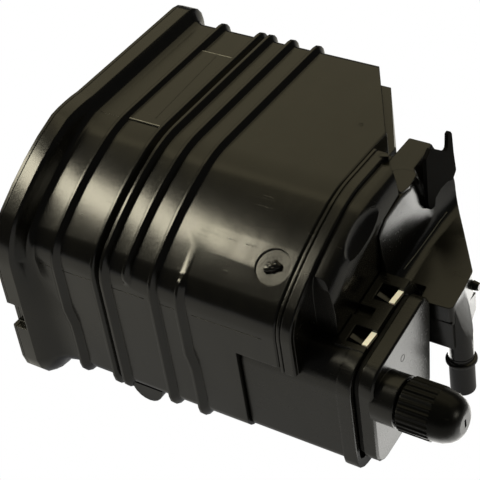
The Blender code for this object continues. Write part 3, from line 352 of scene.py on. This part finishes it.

# %% [markdown]
# ## What lies inside
#
# Nobody sees these pieces in the portrait, but they show when the housing is taken
# apart: grey foam with open cells, white felt, a bed of round black pellets and bright
# spring wire. Cells make the foam and the pellets, and noise that is stretched along
# one axis makes fibres and the marks of the drawing die. The sunk pores of the foam and
# the gaps between pellets carry painted shade, a darker colour where they lie deep.


# %% Foam, felt, carbon and wire
def filter_foam():
    finish = Finish("filter_foam")
    # Painted shade: the sunk middles of the cells are coloured near black
    shaded_pores = finish.cells(0.0022, "DISTANCE_TO_EDGE").above(0.02, 0.22)
    drift = finish.noise(0.01, 3.0)
    colour = finish.mix(drift, (0.13, 0.13, 0.14, 1), (0.20, 0.20, 0.21, 1))
    finish.varies(
        Base_Color=finish.mix(shaded_pores * 0.7, colour, (0.03, 0.03, 0.035, 1)),
        Roughness=0.8 + drift * 0.15,
        Normal=finish.bump(1 - shaded_pores, 0.6 * MM),
    )
    return finish.material


def white_fleece():
    finish = Finish("fleece")
    along = finish.noise(0.0012, 3.0, 0.6, (1, 0.12, 1))
    across = finish.noise(0.0012, 3.0, 0.6, (1, 1, 0.12))
    fibres = (along + across) * 0.5
    colour = finish.mix(fibres.above(0.35, 0.65), (0.42, 0.42, 0.39, 1), (0.66, 0.65, 0.61, 1))
    finish.varies(
        Base_Color=colour,
        Roughness=0.85 + fibres * 0.1,
        Normal=finish.bump(fibres, 0.4 * MM),
    )
    return finish.material


def carbon_pellets():
    finish = Finish("carbon")
    # Painted shade: the low gaps between pellets are coloured darker
    pellet_gap_shade = finish.cells(0.0021)
    dust = finish.noise(0.0008, 3.0)
    colour = finish.mix(dust, (0.005, 0.005, 0.005, 1), (0.018, 0.018, 0.018, 1))
    finish.varies(
        Base_Color=finish.mix(pellet_gap_shade.above(0.35, 0.7), colour, (0.002, 0.002, 0.002, 1)),
        Roughness=0.55 + dust * 0.3,
        Normal=finish.bump(1 - pellet_gap_shade, 1.0 * MM),
    )
    return finish.material


def spring_wire():
    finish = Finish("spring_steel")
    drawn = finish.noise(0.0008, 2.0, 0.5, (0.2, 1, 1))
    bloom = finish.noise(0.006, 3.0)
    colour = finish.mix(bloom, (0.42, 0.42, 0.43, 1), (0.58, 0.57, 0.55, 1))
    finish.varies(
        Base_Color=colour,
        Metallic=0.9 + bloom * 0.1,
        Roughness=0.24 + drawn * 0.16,
        Normal=finish.bump(drawn, 0.02 * MM),
    )
    return finish.material


finishes["filter_foam"] = filter_foam()
finishes["fleece"] = white_fleece()
finishes["carbon"] = carbon_pellets()
finishes["spring_steel"] = spring_wire()
print("finishes in all:", len(finishes))

# %% Put each finish on its nodes
for subpart in frame["record"]["subparts"]:
    nodes[subpart["node"]].material_slots[0].material = finishes[subpart["material_slot"]]

# %% [markdown]
# ## Small pieces
#
# A few things are too small for the solids, such as mould lines, a torn stub and the
# ramps of the latches. A relief in the finish would vanish at the outline and throw no
# shadow, so each is a mesh of its own. It is placed by the case's own measures, and what
# lies on a curved wall is dropped on it by casting a ray from above.

# %% Places on the part, in mm
ZERO = Vector((-154.25, 107.0, 157.5))
UPWARD = Vector((0, 0, 1))
ABOVE_ALL = 50


def at(x, y, z):
    """A place by the distance in mm from the weld, the top's far edge and the top."""
    return (ZERO + Vector((x, y, z))) * MM


def skin_of(node):
    """A node's surface, as a tree that rays can be cast at."""
    thing = nodes[node]
    corners = [thing.matrix_world @ corner.co for corner in thing.data.vertices]
    return BVHTree.FromPolygons(corners, [tuple(face.vertices) for face in thing.data.polygons])


case_skin = skin_of("canister_case")
hood_skin = skin_of("air_hood")


def dropped(x, y, skin=case_skin):
    """The point of a skin straight below a place."""
    return skin.ray_cast(at(x, y, ABOVE_ALL), -UPWARD)[0]


print("top of the case in mm:", round(dropped(150, -60).z / MM, 1))


# %% A piece of the part
def piece(name, shape, slot, finish=None):
    """Turns a filled mesh into a piece of the part, with its slot's finish or one of its own."""
    bmesh.ops.recalc_face_normals(shape, faces=shape.faces)
    for face in shape.faces:
        face.smooth = True
    mesh = bpy.data.meshes.new(name)
    shape.to_mesh(mesh)
    shape.free()
    thing = bpy.data.objects.new(name, mesh)
    scene.collection.objects.link(thing)
    mesh.materials.append(finish or finishes[slot])
    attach(thing, "root")
    return thing


def skinned(rings, closed=False):
    """Joins rings of points into one closed mesh."""
    shape = bmesh.new()
    loops = [[shape.verts.new(spot) for spot in ring] for ring in rings]
    pairs = list(zip(loops, loops[1:]))
    if closed:
        pairs.append((loops[-1], loops[0]))
    else:
        shape.faces.new(loops[0])
        shape.faces.new(loops[-1])
    count = len(loops[0])
    for lower, upper in pairs:
        for i in range(count):
            j = (i + 1) % count
            shape.faces.new((lower[i], lower[j], upper[j], upper[i]))
    return shape


def bead(spots, radius, closed=False, sides=8):
    """A round bead along a line of points."""
    rings = []
    for i, spot in enumerate(spots):
        before = spots[i - 1] if closed or i else spot
        after = spots[(i + 1) % len(spots)] if closed or i < len(spots) - 1 else spot
        along = (after - before).normalized()
        level = along.orthogonal() if abs(along.z) > 0.99 else along.cross(UPWARD)
        side = level.normalized()
        lift = side.cross(along)
        turns = [math.tau * step / sides for step in range(sides)]
        rings.append([spot + (side * math.cos(t) + lift * math.sin(t)) * radius for t in turns])
    return skinned(rings, closed)


print("tools for small pieces ready")

# %% [markdown]
# ## Lines on the mouldings
#
# Where two halves of a mould met, a hair of plastic stands up, and at the ends of the
# raised pad the sharp edge catches the light as a thin bright line. A line is a round
# bead along a row of points, half sunk in the wall. Most beads carry a painted highlight,
# a pale colour that makes them look lit, and the fold's bead has the case's own finish.

# %% Where the lines run, in mm
PAD_X = (38.5, 64.5)
PAD_NEAR = -117.5
PAD_FAR = -33.0
PAD_LINE_Z = 0.7
PAD_LINE = 0.42
LEFT_START = (16, -118.6)
LEFT_END = (33, -118.2)
LEFT_LINE = 0.22
FOLD_START = (55.7, -112)
FOLD_END = (52.1, -35.5)
FOLD_LINE = 0.25
FRONT = -209.0
PARTING_Z = -57.5
PARTING_LINE = 0.2
PARTINGS = (("parting_left", 20, 104), ("parting_middle", 116, 128), ("parting_right", 140, 190))
SHELF_START = (236.8, -63)
SHELF_END = (232.6, -113)
SHELF_LINE = 0.3
print("pad line in mm:", PAD_X[1] - PAD_X[0])


# %% Lay the lines
def row(start, end, count=24):
    """Evenly spaced points between two places."""
    return [start.lerp(end, i / (count - 1)) for i in range(count)]


def dropped_row(start, end, sink=0.0, count=24, skin=case_skin):
    """Points on a skin below a straight line, sunk a little into it."""
    spots = []
    for i in range(count):
        share = i / (count - 1)
        x = start[0] + (end[0] - start[0]) * share
        y = start[1] + (end[1] - start[1]) * share
        spots.append(dropped(x, y, skin) - UPWARD * sink * MM)
    return spots


# Painted highlights: the pale and faint finishes make these beads look lit
for name, y in (("pad_near_line", PAD_NEAR), ("pad_far_line", PAD_FAR)):
    line = row(at(PAD_X[0], y, PAD_LINE_Z), at(PAD_X[1], y, PAD_LINE_Z))
    piece(name, bead(line, PAD_LINE * MM), "case_nylon", painted_highlight_line)
left_line = dropped_row(LEFT_START, LEFT_END, sink=0.1)
piece("pad_left_line", bead(left_line, LEFT_LINE * MM), "case_nylon", faint_painted_highlight)
fold_line = dropped_row(FOLD_START, FOLD_END, sink=0.12)
piece("pad_fold", bead(fold_line, FOLD_LINE * MM), "case_nylon")
for name, left_end, right_end in PARTINGS:
    line = row(at(left_end, FRONT, PARTING_Z), at(right_end, FRONT, PARTING_Z))
    piece(name, bead(line, PARTING_LINE * MM), "case_nylon", faint_painted_highlight)
shelf_line = dropped_row(SHELF_START, SHELF_END, sink=0.12, skin=hood_skin)
piece("hood_parting", bead(shelf_line, SHELF_LINE * MM), "hood_nylon", painted_highlight_line)
print("points on the shelf's line:", len(shelf_line))

# %% [markdown]
# ## The torn stub
#
# The melt entered the mould in the middle of the round dish, and the frozen runner was
# broken off there, which leaves a ragged lump. A displaced sphere would look like a
# pebble. Rings of points with a wavy radius and height, stacked and skinned over, keep
# the crater and the torn rim.

# %% The torn stub in the gate dish
DISH = at(186, -182, -24)
DISH_TILT = math.radians(30)
STUB_RINGS = ((4.4, -0.4), (4.0, 0.8), (3.0, 1.5), (2.0, 1.1), (0.9, 2.0))
STUB_POINTS = 28


def torn_stub():
    """A low lump with a ragged outline, where the runner was broken off."""
    facing = Vector((0, -math.sin(DISH_TILT), math.cos(DISH_TILT)))
    across = Vector((1, 0, 0))
    down = facing.cross(across)
    start = case_skin.ray_cast(DISH + facing * 20 * MM, -facing)[0]
    rings = []
    for level, (radius, height) in enumerate(STUB_RINGS):
        ring = []
        for step in range(STUB_POINTS):
            turn = math.tau * step / STUB_POINTS
            ragged = 1 + 0.28 * math.sin(2 * turn + 0.4) + 0.16 * math.sin(5 * turn + level)
            reach = radius * ragged * MM
            rise = height * MM * (1 + 0.35 * math.sin(3 * turn + 2 * level))
            outward = across * math.cos(turn) + down * math.sin(turn)
            ring.append(start + outward * reach + facing * rise)
        rings.append(ring)
    return skinned(rings)


stub = piece("gate_stub", torn_stub(), "case_nylon")
print("stub faces:", len(stub.data.polygons))

# %% [markdown]
# ## Ejector marks
#
# Pins push a moulding out of its mould, and each leaves a faint ring where it pressed.
# A thin closed bead on the wall is enough, since only its bright and dark sides show.


# %% Round marks of the ejector pins
def ring_line(middle, facing, radius, count=32):
    """Points on a circle about a middle, square to a direction."""
    across = facing.orthogonal().normalized()
    other = facing.cross(across)
    turns = [math.tau * step / count for step in range(count)]
    return [middle + (across * math.cos(t) + other * math.sin(t)) * radius for t in turns]


COVER_FACE_X = 260.0
MARK_LINE = 0.16
marks = (
    ("top_mark", dropped(181.4, -65.5), UPWARD, 1.3),
    ("cover_mark_near", at(COVER_FACE_X, -166.9, -80.7), Vector((1, 0, 0)), 2.2),
    ("cover_mark_far", at(COVER_FACE_X, -139.6, -95.9), Vector((1, 0, 0)), 1.6),
)
for name, middle, facing, radius in marks:
    ring = ring_line(middle, facing, radius * MM)
    piece(name, bead(ring, MARK_LINE * MM, closed=True), "case_nylon")
print("ejector marks:", len(marks))

# %% [markdown]
# ## Latch ramps
#
# In each window of the latch plate a small ramp leads down to the cream tongue, which
# bends over it and snaps in. A ramp is the hull of eight corners with rounded edges,
# and it takes its place from its own tongue, so that the two always meet.

# %% The latch ramps, in mm
RAMP_LENGTH = 11.0
RAMP_WIDTH = 4.6
RAMP_DROP = 5.0
RAMP_THICK = 1.1
RAMP_ROUNDING = 0.3
BEFORE_TONGUE = 2.2
BELOW_TONGUE = 0.8
LATCHES = ("latch_far", "latch_near")


def hull(spots, rounding):
    """The closed form that wraps a few points, with its edges rounded."""
    shape = bmesh.new()
    for spot in spots:
        shape.verts.new(spot)
    bmesh.ops.convex_hull(shape, input=shape.verts)
    bmesh.ops.dissolve_limit(shape, angle_limit=0.02, verts=shape.verts, edges=shape.edges)
    edges = shape.edges[:]
    bmesh.ops.bevel(shape, geom=edges, offset=rounding * MM, segments=3, affect="EDGES", profile=0.5)
    return shape


for name in LATCHES:
    corners = [nodes[name].matrix_world @ corner.co / MM for corner in nodes[name].data.vertices]
    low = Vector([min(corner[i] for corner in corners) for i in range(3)])
    high = Vector([max(corner[i] for corner in corners) for i in range(3)])
    y = (low.y + high.y) / 2
    end = Vector((low.x - BEFORE_TONGUE, y, high.z - RAMP_DROP))
    start = Vector((end.x - RAMP_LENGTH, y, high.z - BELOW_TONGUE))
    half = Vector((0, RAMP_WIDTH / 2, 0))
    thick = Vector((0, 0, RAMP_THICK))
    middles = (start, end, start - thick, end - thick)
    spots = [(middle + side) * MM for middle in middles for side in (half, -half)]
    piece(name + "_ramp", hull(spots, RAMP_ROUNDING), "box_nylon")

# %% [markdown]
# ## The floor
#
# The photograph shows the canister cut out on pure white, but a table that glows like
# white paper would turn half of the black plastic grey. So the floor answers each kind
# of ray by itself: the camera sees white, a mirroring wall sees a dim white with the
# object's shadow in it, and all other light meets a plain pale table.

# %% What each kind of ray sees
MIRRORED_SHARE = 0.30
THROUGH_SHARE = 0.9
FLOOR_HALF = 6.0


def pale_floor():
    finish = Finish("pale_floor")
    tree = finish.tree
    tree.nodes.remove(finish.surface)
    speck = finish.noise(0.6, 2.0)
    colour = finish.mix(speck, (0.80, 0.80, 0.79, 1), (0.84, 0.84, 0.83, 1))
    matt = finish.node("ShaderNodeBsdfDiffuse", None, {"Color": colour})
    glow = finish.node("ShaderNodeEmission", None, {"Color": (1, 1, 1, 1), "Strength": 1.0})
    seen = finish.node("ShaderNodeLightPath", output=0)
    mirrored = finish.node("ShaderNodeLightPath", output=3)
    through = finish.node("ShaderNodeLightPath", output=6)
    share = seen + mirrored * MIRRORED_SHARE + through * THROUGH_SHARE
    both = finish.node("ShaderNodeMixShader", None, {0: share, 1: matt, 2: glow})
    tree.links.new(both.socket, tree.nodes["Material Output"].inputs["Surface"])
    return finish.material


shape = bmesh.new()
bmesh.ops.create_grid(shape, x_segments=1, y_segments=1, size=FLOOR_HALF)
mesh = bpy.data.meshes.new("floor")
shape.to_mesh(mesh)
shape.free()
floor = bpy.data.objects.new("floor", mesh)
scene.collection.objects.link(floor)
mesh.materials.append(pale_floor())
print("floor in metres:", [round(side, 1) for side in floor.dimensions[:2]])

# %% [markdown]
# ## The lamps
#
# Satin black shows its lamps more than its colour, so each lamp is laid where a wall
# mirrors it. A narrow bright box past the flange end draws the long highlight on the
# sloping front. Two wide and dim ones, above and behind, give the flat top its even
# olive sheen. A lamp is set by how bright its face looks, since that is what the plastic
# mirrors, and its power follows from its size.

# %% Lamps for the whole object
TARGET = Vector((0.0, -0.03, 0.08))
LONG_BOX_TINT = (1.0, 0.93, 0.70)
FILL_TINT = (1.0, 0.88, 0.54)


def softbox(name, toward, distance, width, height, radiance, tint=(1, 1, 1)):
    """A lamp that faces the object from a direction. Its width runs along the case."""
    lamp = bpy.data.lights.new(name, "AREA")
    lamp.shape = "RECTANGLE"
    lamp.size = width
    lamp.size_y = height
    lamp.energy = 4 * width * height * radiance
    lamp.color = tint
    thing = bpy.data.objects.new(name, lamp)
    scene.collection.objects.link(thing)
    away = Vector(toward).normalized()
    along = (Vector((1, 0, 0)) - away * away.x).normalized()
    turn = Matrix((along, away.cross(along), away)).transposed().to_4x4()
    thing.matrix_world = Matrix.Translation(TARGET + away * distance) @ turn
    thing.visible_camera = False
    return thing


softbox("slope_box", (-0.70, -0.19, 0.71), 1.3, 0.78, 0.20, radiance=12.0, tint=LONG_BOX_TINT)
softbox("top_fill", (-0.10, 0.52, 0.71), 1.6, 2.6, 1.5, radiance=0.44, tint=FILL_TINT)
softbox("near_fill", (-0.10, 0.17, 0.86), 1.6, 2.6, 0.40, radiance=0.22, tint=FILL_TINT)

# %% [markdown]
# ## Lamps for single pieces
#
# The cover's end face and the hood's wall are bright in the photograph, while the pipe
# beside them stays dark. A photographer holds up flags for that. Here a lamp gets a
# list of the pieces that it lights, and two low panels lie on the floor, where these
# walls mirror them. The cap has a small lamp of its own, and so have the two latches.

# %% Lamps with flags
END_PIECES = ("vent_cap", "filter_cover", "filter_box")
PANEL_TINT = (1.0, 0.99, 0.95)
PANEL_RISE = 2 * MM
CAP_TINT = (1.0, 0.95, 0.78)
LATCH_TINT = (1.0, 0.98, 0.90)


def lights_only(lamp, lit_nodes):
    """Flags keep a lamp's light off every other node."""
    lit = bpy.data.collections.new("lit_by_" + lamp.name)
    for node in lit_nodes:
        lit.objects.link(nodes[node])
    lamp.light_linking.receiver_collection = lit


def low_panel(name, middle, width, depth, turned, radiance, lit_nodes):
    """A lit panel that lies just above the floor, turned on it by an angle in degrees."""
    panel = softbox(name, (0, 0, -1), 0.1, width, depth, radiance, PANEL_TINT)
    spin = Matrix.Rotation(math.radians(turned), 4, "Z")
    face_up = Matrix.Rotation(math.pi, 4, "X")
    panel.matrix_world = Matrix.Translation((*middle, PANEL_RISE)) @ spin @ face_up
    lights_only(panel, lit_nodes)


low_panel("cover_panel", (0.206, -0.025), 0.19, 0.19, turned=0, radiance=2.05, lit_nodes=END_PIECES)
low_panel("hood_panel", (0.109, 0.165), 0.36, 0.22, turned=45, radiance=3.6, lit_nodes=("air_hood",))
end_light = softbox("end_light", (0.88, 0.02, 0.42), 1.5, 0.35, 0.35, radiance=7.0, tint=CAP_TINT)
lights_only(end_light, ("vent_cap",))
latch_light = softbox("latch_light", (-0.1, -0.3, 0.95), 0.8, 0.2, 0.2, radiance=30.0, tint=LATCH_TINT)
lights_only(latch_light, LATCHES)

# %% [markdown]
# ## The room
#
# Past the lamps the room is nearly dark, which is what leaves the other walls black. A
# camera ray that passes over the floor's edge still has to find white, so the room's
# strength depends on the kind of ray.

# %% A dark room with a white backdrop
ROOM_STRENGTH = 0.05
BACKDROP_STRENGTH = 1.0
world = bpy.data.worlds.new("studio")
world.use_nodes = True
background = world.node_tree.nodes["Background"]
background.inputs["Color"].default_value = (1, 1, 1, 1)
ray = world.node_tree.nodes.new("ShaderNodeLightPath")
strength = world.node_tree.nodes.new("ShaderNodeMapRange")
strength.inputs["To Min"].default_value = ROOM_STRENGTH
strength.inputs["To Max"].default_value = BACKDROP_STRENGTH
world.node_tree.links.new(ray.outputs["Is Camera Ray"], strength.inputs["Value"])
world.node_tree.links.new(strength.outputs["Result"], background.inputs["Strength"])
scene.world = world
print("room strength:", ROOM_STRENGTH)

# %% [markdown]
# ## Camera
#
# The view was found by fitting a pinhole camera to the straight edges of the case. It
# looks down on the part's long side and is turned a little about its own axis.

# %% The camera
CAMERA_PLACE = Vector((0.48180, -0.65511, 0.74336))
CAMERA_ANGLES = (39.077, 38.596, -9.578)
LENS = 122.03
azimuth, elevation, roll = (math.radians(angle) for angle in CAMERA_ANGLES)
back = Vector(
    (
        math.sin(azimuth) * math.cos(elevation),
        -math.cos(azimuth) * math.cos(elevation),
        math.sin(elevation),
    )
)
level = Vector((math.cos(azimuth), math.sin(azimuth), 0))
upward = back.cross(level)
right = level * math.cos(roll) + upward * math.sin(roll)
up = upward * math.cos(roll) - level * math.sin(roll)
lens = bpy.data.cameras.new("portrait")
lens.sensor_width = 36
lens.lens = LENS
lens.clip_start = 0.01
camera = bpy.data.objects.new("portrait", lens)
scene.collection.objects.link(camera)
turn = Matrix((right, up, back)).transposed().to_4x4()
camera.matrix_world = Matrix.Translation(CAMERA_PLACE) @ turn
scene.camera = camera
scene.view_settings.view_transform = "Standard"
print("camera looks from", [round(c, 3) for c in camera.location])
